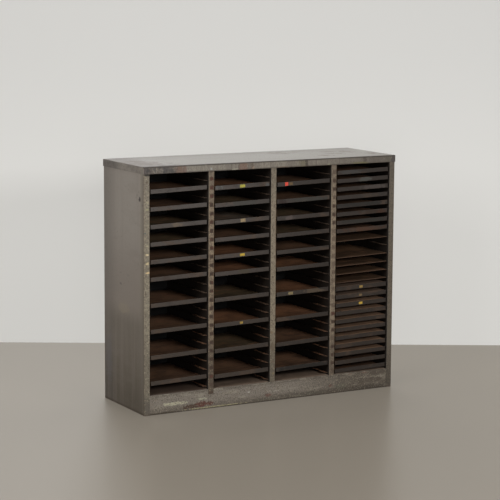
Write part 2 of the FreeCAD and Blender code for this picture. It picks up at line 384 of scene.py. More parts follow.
# %% Cap
def cap_finish():
    """Pale grey enamel over steel, with the rubbed and rusty places of the cap's edge, and painted shade
    along the front bend and towards the right.
    """
    cap = Finish("cap enamel", (124, 117, 105), 0.42)
    cap.layer(cap.cloud(9.0, 0.4, 0.7), (110, 102, 91), 0.7)
    # Painted shade: the cap darkens towards the right.
    cap.layer(cap.along("X", 60, 480), (98, 91, 83), 0.85)
    blocks = cap.cloud(42.0, 0.5, 0.56, 2.0, stretch=(1, 1, 0.04))
    cap.layer(blocks, (100, 92, 83), 0.5)
    streaks = cap.cloud(150.0, 0.48, 0.66, stretch=(1, 1, 0.12))
    cap.layer(streaks, (88, 80, 69), 0.5)
    cap.layer(cap.along("Z", 884, 880.5), (62, 54, 44), 0.7)
    for x, reach, colour, strength in EDGE_BANDS:
        band = cap.spot((x, CAP_FRONT, EDGE_MIDDLE), (reach, 24, 60), ragged=0.8, grain=210.0)
        cap.layer(band, colour, strength, roughness=0.6)
    cap.layer(cap.along("X", -400, -510), (84, 74, 66), 0.35)
    for shift, low, colour, strength in ((0, 0.5, (70, 62, 54), 0.42), (7, 0.56, (130, 122, 108), 0.35)):
        mottle = cap.cloud(260.0, low, low + 0.08, stretch=(1, 1, 0.6), shift=(shift, 0, 0))
        cap.layer(mottle, colour, strength)
    for x, z, reach, height, colour in EDGE_SPOTS:
        cap.layer(cap.spot((x, CAP_FRONT, z), (reach, 10, height)), colour, 0.75)
    chips = cap.cloud(80.0, 0.52, 0.58, stretch=(1, 1, 0.6), shift=(2, 0, 0))
    cap.layer(cap.both(cap.along("X", -370, -420), chips), (46, 42, 41), 0.65, roughness=0.6)
    end = cap.along("X", SIDE_X + 0.5, SIDE_X - 1.5)
    cap.layer(end, (122, 114, 105))
    smudges = cap.cloud(16.0, 0.46, 0.62, 5.0, stretch=(1, 1, 2.5))
    cap.layer(cap.both(end, smudges), (98, 90, 83), 0.7)
    cap.layer(cap.both(end, cap.along("Y", 0, 80)), (76, 69, 63), 0.8)
    top = cap.facing("Z")
    cap.layer(top, (129, 125, 119), roughness=0.46)
    cap.layer(cap.both(top, cap.along("Y", 40, 150)), (110, 105, 99), 0.8)
    front = cap.both(top, cap.along("Y", -140, -168))
    cap.layer(front, (98, 90, 81), 0.4, roughness=0.6)
    cap.layer(cap.both(front, cap.along("X", 100, -400)), (82, 72, 64), 0.6, roughness=0.6)
    cap.layer(cap.both(top, cap.along("X", -390, -480)), (90, 81, 75), 0.6, roughness=0.55)
    scuffs = cap.cloud(34.0, 0.47, 0.55, 5.0, stretch=(0.5, 1, 1))
    left_front = cap.both(cap.along("X", -260, -460), cap.along("Y", -110, -150))
    cap.layer(cap.both(cap.both(top, left_front), scuffs), (60, 49, 44), 0.85, roughness=0.6)
    for x, y, reach_x, reach_y in TOP_RINGS:
        ring = cap.spot((x, y, CAP_TOP), (reach_x, reach_y, 20), ragged=1.6, grain=46.0)
        cap.layer(cap.both(top, ring), (98, 86, 78), 0.6, roughness=0.6)
    wiped = cap.cloud(16.0, 0.5, 0.72, 5.0, stretch=(0.3, 1, 1))
    cap.layer(cap.both(top, wiped), (116, 110, 103), 0.5, roughness=0.55)
    cap.layer(cap.folds(3, 0.44, 45.0), (70, 58, 47), 0.7, roughness=0.6)
    # Painted shade: a dark line along the front bend, just below the top.
    bend = cap.both(cap.along("Y", CAP_FRONT + 6, CAP_FRONT + 3), cap.along("Z", 899.5, 902))
    broken = cap.cloud(24.0, 0.26, 0.46, stretch=(1, 1, 0.1))
    cap.layer(cap.both(bend, broken), (48, 40, 33), 0.9, roughness=0.6)
    cap.flecks(240.0, 0.65, 0.69)
    return cap.done()


coat(cap_finish(), "top_cap")


# %% [markdown]
# Each side and its front stile are one folded sheet, so one finish has to serve both. The side keeps its
# factory grey-brown, with faint wiped streaks, and painted shade darkens it in steps towards the bottom,
# most sharply below about 350 mm. The stile has been rubbed down to a cream undercoat. A mask along Y tells
# the two apart at the fold.

# %% Marks on the sides and outer stiles
STILE_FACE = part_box("divider_2_stile")[0].y / MM
SIDE_SPOTS = (
    (-137, 787, 7, 10, (44, 36, 32), 0.95), (-115, 798, 3.5, 4, (84, 74, 68), 0.7),
    (-157, 766, 4, 5, (78, 68, 62), 0.7), (-130, 812, 3, 3, (96, 86, 80), 0.6),
    (-108, 790, 3, 3, (100, 92, 86), 0.6), (26, 459, 10, 4, (92, 84, 78), 0.7),
    (-40, 498, 12, 3, (112, 104, 97), 0.5), (28, 500, 8, 3, (110, 102, 96), 0.5),
    (-2, 372, 46, 20, (140, 130, 112), 0.45), (130, 165, 28, 100, (104, 102, 105), 0.35))
LEFT_STILE_SPOTS = (
    (-520, 620, 6, 3, (156, 148, 122)), (-519.5, 589, 6.5, 4, (204, 186, 146)),
    (-519.5, 557, 6.5, 5, (196, 178, 138)), (-518, 524, 7.5, 3.5, (204, 178, 132)),
    (-519, 777, 6, 3, (150, 144, 116)), (-519, 752, 6, 3, (150, 146, 112)), (-528, 667, 4, 3, (70, 82, 82)),
    (-527, 447, 4, 4, (84, 74, 62)), (-520, 850, 5, 4, (88, 76, 64)), (-519, 28, 10, 22, (84, 77, 68)),
    (-521, 876, 14, 4, (26, 22, 19)))
RIGHT_STILE_SPOTS = ((521, 205, 12, 60, (88, 80, 67)),)
print(len(SIDE_SPOTS), "knocks,", len(LEFT_STILE_SPOTS + RIGHT_STILE_SPOTS), "stile marks")


# %% Sides and outer stiles
def side_finish(name, stile_colour, rubbed_colour, spots):
    """Grey-brown side with painted shade towards the bottom, and a stile rubbed to its undercoat."""
    side = Finish(name, (137, 129, 120), 0.48)
    # Painted shade: the side darkens in steps towards the bottom.
    side.layer(side.along("Z", 720, 440), (122, 112, 102), 0.85)
    warm = side.both(side.along("Y", -132, -158), side.along("Z", 900, 860))
    side.layer(warm, (112, 102, 86), 0.75)
    # Painted shade, most sharply below about 350 mm, and more again towards the foot.
    side.layer(side.along("Z", 400, 310), (95, 87, 76), 0.85)
    side.layer(side.along("Z", 260, 30), (74, 66, 54), 0.8)
    side.layer(side.along("Y", 30, 160), (90, 83, 76), 0.62)
    side.layer(side.both(side.along("Y", 60, 130), side.along("Z", 300, 60)), (66, 60, 55), 0.5)
    streaks = side.cloud(34.0, 0.42, 0.72, stretch=(1, 1, 0.05))
    side.layer(streaks, (122, 113, 105), 0.4)
    wiped = side.cloud(24.0, 0.5, 0.75, 5.0, stretch=(1, 0.25, 1))
    side.layer(wiped, (112, 103, 95), 0.35)
    for y, z, reach, height, colour, strength in SIDE_SPOTS:
        knock = side.spot((SIDE_X, y, z), (20, reach, height), ragged=0.8)
        side.layer(knock, colour, strength, roughness=0.6)
    side.layer(side.along("Y", STILE_FACE + 22, STILE_FACE + 3), (98, 88, 76), 0.6)
    front = side.along("Y", STILE_FACE + 2.2, STILE_FACE + 1.0)
    side.layer(front, stile_colour, roughness=0.5)
    rubbed = side.cloud(70.0, 0.44, 0.6, 5.0)
    side.layer(side.both(front, rubbed), rubbed_colour, 0.8)
    for start, end, share, strength in ((300, 200, 0.84, 0.6), (100, 20, 0.7, 0.7), (780, 850, 0.9, 0.5)):
        side.layer(side.both(front, side.along("Z", start, end)), tone(stile_colour, share), strength)
    pale = side.cloud(210.0, 0.56, 0.62, 3.0, shift=(0, 0, 4))
    side.layer(side.both(front, pale), tone(rubbed_colour, 1.2), 0.6)
    grime = side.cloud(170.0, 0.55, 0.62, 4.0)
    side.layer(side.both(front, grime), (56, 48, 39), 0.85, roughness=0.75)
    for x, z, reach, height, colour in spots:
        mark = side.spot((x, STILE_FACE, z), (reach, 6, height), grain=200.0)
        side.layer(mark, colour, 0.85, roughness=0.8)
    side.layer(side.folds(2, 0.42, 55.0), (70, 60, 50), 0.7, roughness=0.7)
    inset = SIDE_X + 2
    inner = side.both(side.along("X", inset, inset + 1), side.along("X", -inset, -inset - 1))
    side.layer(side.both(side.facing("X", 0.6, 0.9, either=True), inner), BAY_DARK, roughness=0.7)
    side.layer(side.along("Z", 13, 3), (74, 63, 53), 0.7, roughness=0.8)
    side.flecks(260.0, 0.68, 0.72)
    return side.done()


coat(side_finish("left side enamel", (108, 99, 84), (130, 121, 103), LEFT_STILE_SPOTS), "left_side_panel")
coat(side_finish("right side enamel", (83, 74, 62), (94, 85, 72), RIGHT_STILE_SPOTS), "right_side_panel")


# %% [markdown]
# The three divider stiles were rubbed and labelled slot by slot. The glue of each old label left a brown
# mark, so the finish repeats one mark at the slots' own spacing: a Modulo of the height gives the place
# within one slot, wherever the slot is. The middle stile was cleaned, so it has no such marks.

# %% Group: marks at every slot
UPPER_SHELF, NEXT_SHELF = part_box("bay_1_shelf_02"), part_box("bay_1_shelf_04")
SLOT_PITCH = (UPPER_SHELF[0].z - NEXT_SHELF[0].z) / 2
SLOT_COUNT = 25
LOWEST_SHELF = UPPER_SHELF[0].z - (SLOT_COUNT - 2) * SLOT_PITCH
MARK_RISE = 12.7 * MM


def slot_height(slot):
    """Where the left end of a shelf's plate starts, in metres; slots count from the top."""
    return LOWEST_SHELF + (SLOT_COUNT - slot) * SLOT_PITCH


group, given, result = start_group(
    "slot marks", "Mask", Position=None, Middle=0.0, Across=0.006, Up=0.007, Ragged=0.4)
parts = place(group, "SeparateXYZ", given["Position"]).outputs
rise = sum_of(group, "SUBTRACT", parts["Z"], LOWEST_SHELF + MARK_RISE - SLOT_PITCH / 2)
within = sum_of(group, "SUBTRACT", sum_of(group, "FLOORED_MODULO", rise, SLOT_PITCH), SLOT_PITCH / 2)
up = sum_of(group, "DIVIDE", sum_of(group, "ABSOLUTE", within), given["Up"])
aside = sum_of(group, "ABSOLUTE", sum_of(group, "SUBTRACT", parts["X"], given["Middle"]))
across = sum_of(group, "DIVIDE", aside, given["Across"])
cloud = noise_at(group, given["Position"], 150.0, 3.0)
far = sum_of(group, "MAXIMUM", up, across)
fill(group, result["Mask"], ragged_rim(group, far, cloud, given["Ragged"], (1.2, 0.7)))
slot_marks = group
print("made the group", slot_marks.name, "for slots", round(SLOT_PITCH / MM, 2), "mm apart")


# %% Divider stiles
STILE_MIDDLES = [sum(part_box("divider_%d_stile" % index), Vector()).x / 2 for index in (1, 2, 3)]
MIDDLE_STILE_SPOTS = (
    (-3, 472, 4.5, 3, (58, 46, 38)), (10, 640, 2.5, 130, (98, 80, 62)), (1, 205, 11, 18, (86, 72, 56)),
    (-4, 262, 8, 6, (106, 88, 66)), (3, 105, 5, 4, (112, 96, 66)), (0, 150, 9, 5, (92, 78, 64)))


def stile_finish(index, ground, rubbed_colour, mark_strength, mark_shift=0.0, low_from=300,
                 low_share=0.68):
    """A rubbed upright with a glue mark at every slot, darker below LOW_FROM."""
    stile = Finish("stile %d enamel" % index, ground, 0.5)
    rubbed = stile.cloud(70.0, 0.45, 0.6, 5.0, shift=(index, 0, 0))
    stile.layer(rubbed, rubbed_colour, 0.8)
    stile.layer(stile.along("Z", low_from, 130), tone(ground, low_share), 0.75)
    stile.layer(stile.along("Z", 720, 860), tone(ground, 0.8), 0.6)
    pale = stile.cloud(210.0, 0.56, 0.62, 3.0, shift=(0, 0, index))
    stile.layer(pale, tone(rubbed_colour, 1.16), 0.6)
    grime = stile.cloud(150.0, 0.54, 0.62, 4.0, shift=(0, index, 0))
    stile.layer(grime, (68, 54, 42), 0.65, roughness=0.75)
    if mark_strength:
        middle = STILE_MIDDLES[index - 1] + mark_shift * MM
        marks = stile.mask(slot_marks, Middle=middle, Across=0.0085, Up=0.008)
        stile.layer(marks, (66, 49, 36), mark_strength, roughness=0.8)
    stile.layer(stile.folds(2, 0.45, 60.0), (96, 84, 70), 0.55, roughness=0.6)
    stile.flecks(260.0, 0.66, 0.7)
    stile.layer(stile.facing("X", 0.6, 0.9, either=True), BAY_DARK, roughness=0.7)
    return stile


first = stile_finish(1, (102, 87, 69), (126, 110, 88), 0.75, 1.0, low_from=380, low_share=0.56)
second = stile_finish(2, (112, 101, 84), (126, 115, 98), 0.0)
for x, z, reach, height, colour in MIDDLE_STILE_SPOTS:
    mark = second.spot((x, STILE_FACE, z), (reach, 6, height), grain=150.0)
    second.layer(mark, colour, 0.65, roughness=0.8)
third = stile_finish(3, (108, 94, 77), (126, 112, 93), 0.6, 2.5)
third.layer(third.spot((-5, STILE_FACE, 390), (6, 6, 110), grain=60.0), (128, 114, 94), 0.6)
for index, stile in enumerate((first, second, third), start=1):
    coat(stile.done(), "divider_%d_stile" % index)


# %% [markdown]
# The kick plate is at shoe height: scuffed, speckled with rust, bright along its upper fold and rubbed bare
# in one long line at its foot. Painted shade darkens it towards the right. A large rust scar sits left of
# the first joint. Its three lengths share one finish, so the scars are placed once, in the cabinet's own
# coordinates.

# %% Scars of the kick plate
KICK_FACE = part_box("plinth_left")[0].y / MM
KICK_SCARS = (
    (-298, 19, 32, 10, (78, 38, 27), 0.95), (-262, 19, 14, 9, (78, 42, 32), 0.88),
    (-345, 15, 30, 9, (62, 42, 28), 0.95), (-411, 34, 50, 6, (160, 155, 133), 0.95),
    (-292, 40, 24, 4, (154, 151, 131), 0.8), (-240, 5.5, 130, 2.8, (146, 139, 108), 0.95),
    (-450, 3, 60, 4, (60, 51, 38), 0.8), (-260, 62, 7, 12, (74, 65, 56), 0.75),
    (-101, 44.5, 5, 2.4, (172, 167, 158), 0.9), (-112, 45, 12, 2, (132, 125, 116), 0.6),
    (-17, 24, 17, 6, (88, 58, 48), 0.75), (-17, 39, 17, 2, (138, 127, 114), 0.8),
    (17, 37, 17, 2, (146, 138, 126), 0.85), (-30, 8, 60, 8, (74, 68, 56), 0.6),
    (100, 8, 34, 2.5, (128, 121, 104), 0.7), (172, 12, 60, 7, (76, 72, 60), 0.6),
    (165, 9, 6, 2.5, (134, 130, 112), 0.7), (258, 31, 8, 5, (88, 62, 52), 0.75),
    (346, 68, 10, 4, (98, 74, 62), 0.6), (408, 68, 16, 4, (100, 74, 62), 0.6),
    (300, 24, 26, 10, (86, 84, 70), 0.6), (435, 8, 75, 10, (46, 37, 28), 0.85),
    (340, 12, 30, 6, (64, 53, 42), 0.7), (472, 40, 1.2, 20, (70, 62, 53), 0.7))
print(len(KICK_SCARS), "scars")


# %% Kick plate
def plinth_finish():
    """Scuffed enamel at shoe height, with painted shade towards the right."""
    kick = Finish("kick plate enamel", (114, 106, 96), 0.52)
    # Painted shade: the kick plate darkens towards the right.
    kick.layer(kick.along("X", 20, 420), (66, 57, 46), 0.9)
    kick.layer(kick.along("Z", 34, 8), (74, 65, 54), 0.75)
    kick.layer(kick.along("Z", 66, 70), (78, 70, 60), 0.5)
    kick.layer(kick.both(kick.along("Z", 74, 69), kick.along("Z", 60, 68)), (70, 61, 52), 0.5)
    smears = kick.cloud(70.0, 0.48, 0.62, 4.0, stretch=(0.3, 1, 1))
    kick.layer(smears, (104, 95, 84), 0.6)
    pale = kick.cloud(55.0, 0.56, 0.66, 4.0, stretch=(0.2, 1, 1), shift=(3, 0, 0))
    kick.layer(pale, (136, 129, 114), 0.5)
    for x, z, reach, height, colour, strength in KICK_SCARS:
        scar = kick.spot((x, KICK_FACE + 3.3, z), (reach, 20, height), ragged=0.7, grain=110.0)
        kick.layer(scar, colour, strength, roughness=0.7)
    kick.layer(kick.both(kick.along("X", -20, 40), kick.along("Z", 26, 14)), (58, 50, 40), 0.5)
    kick.layer(kick.along("Z", 7, 2), (50, 40, 27), 0.8, roughness=0.8)
    bright = kick.cloud(200.0, 0.57, 0.62, 3.0, shift=(0, 6, 0))
    kick.layer(bright, (146, 136, 118), 0.55)
    speckle = kick.cloud(190.0, 0.54, 0.6, 4.0)
    kick.layer(speckle, (62, 54, 44), 0.65, roughness=0.7)
    foot = kick.both(kick.along("X", -230, -150), kick.along("Z", 6, 2))
    kick.layer(foot, (52, 44, 33), 0.7, roughness=0.8)
    foot = kick.both(kick.along("X", -390, -430), kick.along("Z", 10, 2))
    kick.layer(foot, (56, 48, 36), 0.75, roughness=0.8)
    fold = kick.folds(3, 0.49, 40.0)
    kick.layer(kick.both(fold, kick.along("Z", 60, 66)), (160, 152, 136), 0.8, roughness=0.4, metal=0.3)
    kick.flecks(230.0, 0.64, 0.68)
    return kick.done(dents=1.5)


coat(plinth_finish(), "plinth_left", "plinth_middle", "plinth_right")


# %% [markdown]
# Inside the bays the paint was thin, and rust has turned it nearly black-brown. Deeper than about 110 mm,
# the walls and runners are darker still, as painted shade, and the floor pan darkens towards the rear as
# painted shade. The runners are rubbed by the shelves, so their upper edges show orange-brown metal. The
# back panel and the rear rail face the wall and keep more of their grey, but the back panel's face towards
# the bays is painted nearly black: dark paint deepened into painted shade.

# %% Bay walls, floor pan, back and rail
def bay_finish():
    """Dark, rusty paint of the liners, skins and runners, with painted shade deep in the bays."""
    bay = Finish("bay enamel", BAY_DARK, 0.7, sheen=0.2)
    bay.layer(bay.cloud(14.0, 0.5, 0.75), (50, 38, 30), 0.6)
    bay.layer(bay.cloud(90.0, 0.58, 0.68), (20, 17, 15), 0.6)
    polished = bay.cloud(50.0, 0.36, 0.5)
    bay.layer(bay.both(bay.facing("Z"), polished), (122, 102, 86), 0.9, roughness=0.5)
    low_down = bay.both(bay.facing("Z"), bay.along("Z", 420, 260))
    bay.layer(bay.both(low_down, polished), (152, 108, 80), 0.8, roughness=0.6)
    rubbed = bay.folds(1.2, 0.36, 80.0)
    bay.layer(rubbed, (104, 86, 72), 0.7, roughness=0.55, metal=0.2)
    # Painted shade deep in the bay, from about 110 mm behind the stiles.
    bay.layer(bay.along("Y", STILE_FACE + 95, STILE_FACE + 125), BAY_DARK, 0.9)
    return bay.done(strength=0.3)


def floor_pan_finish():
    """Dusty dark grey of the cabinet's floor, with painted shade towards the rear."""
    pan = Finish("floor pan enamel", (124, 106, 90), 0.6)
    # Painted shade towards the rear of the floor pan.
    pan.layer(pan.along("Y", STILE_FACE + 70, STILE_FACE + 110), (56, 46, 37), 0.9)
    pan.layer(pan.cloud(18.0, 0.4, 0.7), (88, 72, 59), 0.7)
    pan.layer(pan.cloud(120.0, 0.6, 0.68), (54, 44, 37), 0.6)
    pan.layer(pan.along("X", -260, -290), (66, 50, 40), 0.75)
    return pan.done()


def back_finish():
    """Plain grey at the rear, painted nearly black as shade towards the bays, and rusty underneath."""
    back = Finish("back enamel", (128, 120, 110), 0.55)
    back.layer(back.cloud(22.0, 0.42, 0.7, stretch=(1, 1, 0.08)), (108, 99, 90), 0.5)
    back.layer(back.cloud(6.0, 0.52, 0.7), (98, 88, 78), 0.45)
    under = back.both(back.along("Z", 0.16, 0.0), back.cloud(40.0, 0.45, 0.6))
    back.layer(under, (92, 58, 42), 0.75, roughness=0.85)
    back.layer(back.folds(2, 0.5, 60.0), BARE_STEEL, 0.5, roughness=0.45, metal=0.4)
    back.flecks(240.0, 0.68, 0.71, strength=0.8)
    # Painted shade: the face towards the bays is nearly black.
    back.layer(back.facing("Y", -0.5, -0.9), (14, 12, 11), roughness=0.8)
    return back.done(dents=2.0)


walls = [name for name in nodes if name.endswith(("_skins", "_liner"))]
coat(bay_finish(), *walls)
coat(floor_pan_finish(), "floor_pan")
coat(back_finish(), "back_panel", "rear_base_rail")


# %% [markdown]
# The screws are the one bright thing at the back: zinc plate over steel, dulled and a little rusty round
# the rim. Metal is a Metallic of 1 with its colour as the tint of its reflections.

# %% Back screws
zinc = Finish("dull zinc", (150, 148, 142), 0.42)
zinc.layer(zinc.cloud(300.0, 0.5, 0.62), (112, 92, 74), 0.7, roughness=0.7, metal=0.4)
coat(zinc.done(strength=0.2), "back_screws")


# %% [markdown]
# A shelf has two faces to the world: the front lip, dark grey and greasy from hands, and the plate, where
# papers slid for years and rust came through. The lip is told apart by its place along Y. Lips lower down
# are darker and browner, and painted shade makes lips further right darker and browner. Plates come in four
# tones, from olive to bright rust, and painted shade darkens their rear. Five shelves in the last bay were
# put in the wrong way round, so their lips are at the rear, and the bare front edge of the plate shows.

# %% Stains and tones of the shelves
LIP_FACE = UPPER_SHELF[0].y / MM
LIP_HEIGHT = 16 * MM
LIP_COLOUR = (72, 66, 62)
SHELF_SIZE = UPPER_SHELF[1] - UPPER_SHELF[0]
SHELF_SLOPE = (SHELF_SIZE.z - LIP_HEIGHT) / SHELF_SIZE.x
LIP_STAINS = (
    (4, 6, 440, 50, (46, 33, 23)), (4, 6, 480, 24, (56, 36, 24)), (4, 8, 400, 110, (58, 40, 28)),
    (4, 8, 400, 34, (66, 44, 30)), (4, 2, 400, 30, (70, 70, 66)), (4, 3, 440, 60, (68, 60, 56)),
    (4, 5, 380, 110, (30, 28, 25)), (4, 7, 380, 110, (38, 36, 31)), (4, 1, 330, 50, (58, 56, 54)),
    (3, 4, 40, 22, (40, 29, 24)), (3, 4, 150, 90, (52, 51, 47)), (3, 6, 70, 20, (80, 70, 66)),
    (3, 24, 130, 130, (24, 22, 19)), (2, 4, -130, 60, (60, 58, 54)), (3, 15, 180, 40, (76, 64, 50)),
    (1, 6, -400, 20, (98, 86, 72)), (1, 12, -440, 24, (60, 50, 44)), (2, 12, -120, 24, (62, 56, 44)))
LEAN_IN_BAY_4 = 4
BARE_HEIGHT = 818
BARE_SPOTS = (
    (-236, 5, (118, 119, 117)), (-229, 14, (72, 71, 69)), (-217, 4, (92, 92, 90)), (-24, 10, (80, 80, 79)))
LIP_FACE_BEHIND = UPPER_SHELF[1].y / MM
TURNED_ROUND = ("bay_4_shelf_09", "bay_4_shelves_11_12", "bay_4_shelves_13_14")
PLATE_TONES = {"olive": (104, 87, 64), "brown": (120, 90, 68),
               "rust": (150, 106, 76), "grey": (118, 106, 93)}
# The bay and slot of each shelf whose plate isn't brown.
OTHER_TONES = {
    "olive": ((1, 6), (1, 8), (2, 4), (2, 15), (2, 21), (3, 6), (3, 8)),
    "rust": ((2, 2), (2, 10), (2, 12), (2, 18), (3, 12), (3, 15), (3, 18)),
    "grey": ((2, 6),)}
print(len(LIP_STAINS), "stained lips; a shelf rises by", round(SHELF_SLOPE * SHELF_SIZE.x / MM, 1), "mm")


# %% Shelf finish
def shelf_finish(name, plate_colour, turned=False):
    """Dark grey lip and rusty plate, with painted shade at the plate's rear and on the lip towards the
    right; the lip of a TURNED shelf is behind.
    """
    shelf = Finish(name, plate_colour, 0.62, sheen=0.25)
    worn = shelf.cloud(14.0, 0.42, 0.68, 5.0)
    shelf.layer(worn, tone(plate_colour, 0.72), 0.8)
    bloom = shelf.cloud(20.0, 0.54, 0.72, stretch=(1, 0.5, 1), shift=(0, 5, 0))
    shelf.layer(bloom, (150, 106, 78), 0.45)
    shelf.layer(shelf.along("Y", LIP_FACE + 145, LIP_FACE + 80), tone(plate_colour, 0.62), 0.75)
    for shift, colour in ((0, (150, 108, 80)), (9, (50, 38, 30))):
        bands = shelf.cloud(42.0, 0.52, 0.66, stretch=(0.25, 1, 1), shift=(0, shift, 0))
        shelf.layer(bands, colour, 0.4)
    # Painted shade: the rear of the plate is darker.
    shelf.layer(shelf.along("Y", LIP_FACE + 240, LIP_FACE + 300), tone(plate_colour, 0.55), 0.7)
    if turned:
        lip = shelf.along("Y", LIP_FACE_BEHIND - 2.0, LIP_FACE_BEHIND - 1.4)
        shelf.layer(shelf.along("Y", LIP_FACE + 12, LIP_FACE + 2), (98, 74, 60), 0.6)
    else:
        lip = shelf.along("Y", LIP_FACE + 2.0, LIP_FACE + 1.4)
    shelf.layer(lip, LIP_COLOUR, roughness=0.5)
    red, green, blue = LIP_COLOUR
    shelf.layer(shelf.both(lip, shelf.along("Z", 820, 180)), (red * 0.76, green * 0.7, blue * 0.62), 0.85)
    # Painted shade: lips darken towards the right.
    shelf.layer(shelf.both(lip, shelf.along("X", -300, 250)), (red * 0.57, green * 0.52, blue * 0.47), 0.85)
    tint = shelf.cloud(11.0, 0.52, 0.68, 3.0, stretch=(1, 1, 2.0))
    shelf.layer(shelf.both(lip, tint), (red * 1.1, green * 0.94, blue * 0.78), 0.45)
    smears = shelf.cloud(110.0, 0.5, 0.66, 4.0, stretch=(0.3, 1, 1))
    shelf.layer(shelf.both(lip, smears), (red * 0.62, green * 0.6, blue * 0.58), 0.45, roughness=0.65)
    for x, reach, colour in BARE_SPOTS:
        bare = shelf.spot((x, LIP_FACE, BARE_HEIGHT), (reach, 4, 8), ragged=0.7, grain=140.0)
        shelf.layer(shelf.both(lip, bare), colour, 0.75, roughness=0.4, metal=0.3)
    for bay, slot, x, reach, colour in LIP_STAINS:
        height = (slot_height(slot) + LIP_HEIGHT / 2) / MM
        lean = LEAN_IN_BAY_4
        if bay < 4:
            lean = (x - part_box("bay_%d_shelf_02" % bay)[0].x / MM) * SHELF_SLOPE
        patch = shelf.spot((x, LIP_FACE, height + lean), (reach, 6, 9), ragged=0.9, grain=60.0)
        shelf.layer(shelf.both(lip, patch), colour, 0.75, roughness=0.65)
    shelf.layer(shelf.folds(1.2, 0.5, 70.0), (98, 84, 70), 0.5, roughness=0.5, metal=0.2)
    shelf.flecks(240.0, 0.66, 0.7, colour=(44, 31, 26))
    return shelf.done(strength=0.3)


toned = list(TURNED_ROUND)
for hue, shelves in OTHER_TONES.items():
    names = ["bay_%d_shelf_%02d" % bay_and_slot for bay_and_slot in shelves]
    coat(shelf_finish(hue + " shelf enamel", PLATE_TONES[hue]), *names)
    toned += names
others = [name for name in nodes if name.startswith("bay_") and name not in toned]
coat(shelf_finish("brown shelf enamel", PLATE_TONES["brown"]), *others)
coat(shelf_finish("turned shelf enamel", (106, 80, 57), turned=True), *TURNED_ROUND)


# %% [markdown]
# Old labels left scraps of brown card on two of the uprights. A scrap is a circle of a few points, squared
# and pulled about by noise, then extruded. Noise by place gives the same scraps on each run, which random
# numbers without a seed would not.

# %% Helpers for paper pieces
PAPER_THICKNESS = 0.25 * MM


def finish_piece(mesh, name):
    """Turns a bmesh into an object at the origin, with its place in its mesh."""
    data = bpy.data.meshes.new(name)
    mesh.to_mesh(data)
    mesh.free()
    print(name, len(data.polygons), "faces")
    return add_object(name, data)


def thicken(mesh):
    """Gives the flat faces of a bmesh the thickness of paper, towards -Y."""
    for face in mesh.faces:
        face.normal_update()
        if face.normal.y > 0:
            face.normal_flip()
    grown = bmesh.ops.extrude_face_region(mesh, geom=mesh.faces[:])
    moved = [item for item in grown["geom"] if isinstance(item, bmesh.types.BMVert)]
    bmesh.ops.translate(mesh, vec=(0, -PAPER_THICKNESS, 0), verts=moved)
    bmesh.ops.recalc_face_normals(mesh, faces=mesh.faces)


print("paper is", PAPER_THICKNESS / MM, "mm thick")


# %% Label scraps on the uprights
SCRAP_HALF_SIZE = (6.9 * MM, 6.0 * MM)
SCRAP_SHIFT = {1: 1.2 * MM, 3: 2.6 * MM}
LABELLED_SLOTS = {1: range(1, 25), 3: (2, 3, 5, 6, 7, 18, 19, 20, 22, 23, 24)}


def torn_card(mesh, centre, half_width, half_height):
    """Adds one flat torn scrap to a bmesh."""
    ring = bmesh.ops.create_circle(mesh, cap_ends=True, segments=16, radius=1.0)["verts"]
    for vertex in ring:
        x, z = vertex.co.x, vertex.co.y
        square = 1.0 / max(abs(x), abs(z))
        torn = 1.0 + 0.55 * noise.noise(Vector((x * 1.7, z * 1.7, centre.z * 900)))
        reach = (0.35 + 0.65 * square) * torn
        vertex.co = centre + Vector((x * reach * half_width, 0, z * reach * half_height))


def label_scraps(index):
    """All the scraps of one upright, as one piece."""
    mesh = bmesh.new()
    for slot in LABELLED_SLOTS[index]:
        height = slot_height(slot) + MARK_RISE
        sway = noise.noise(Vector((index, slot * 3.1, 0)))
        middle = STILE_MIDDLES[index - 1] + SCRAP_SHIFT[index] + sway * 2 * MM
        half_width, half_height = SCRAP_HALF_SIZE
        torn_card(mesh, Vector((middle, STILE_FACE * MM, height + sway * 3 * MM)),
                  half_width * (1 + 0.25 * sway), half_height * (1 - 0.3 * sway))
    thicken(mesh)
    return finish_piece(mesh, "stile_%d_label_scraps" % index)


def paper(name, colour, stain_colour, wear=0.6, reddish=None):
    """Matt paper or card, soiled by hands."""
    card = Finish(name, colour, 0.8)
    if reddish:
        card.layer(card.cloud(13.0, 0.57, 0.63, 1.0), reddish, 0.7)
    card.layer(card.cloud(160.0, 0.42, 0.62, 4.0), stain_colour, wear)
    card.layer(card.cloud(420.0, 0.6, 0.66, 2.0), tone(stain_colour, 0.6), 0.5)
    return card.done(peel=0.6, dents=0.0, strength=0.4, distance=0.0003)


old_card = paper("old brown card", (64, 46, 33), (40, 30, 22), reddish=(86, 48, 34))
for index in LABELLED_SLOTS:
    scraps = label_scraps(index)
    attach(scraps, "cabinet")
    coat(old_card, scraps.name)


# %% [markdown]
# A few shelves carry a small paper tag, stuck to the front of the lip. Each tag is a grid of a few cells,
# thickened by extrusion, with one lower corner lifted as glue lets go. A tag rides on its own shelf,
# so it comes out with it.

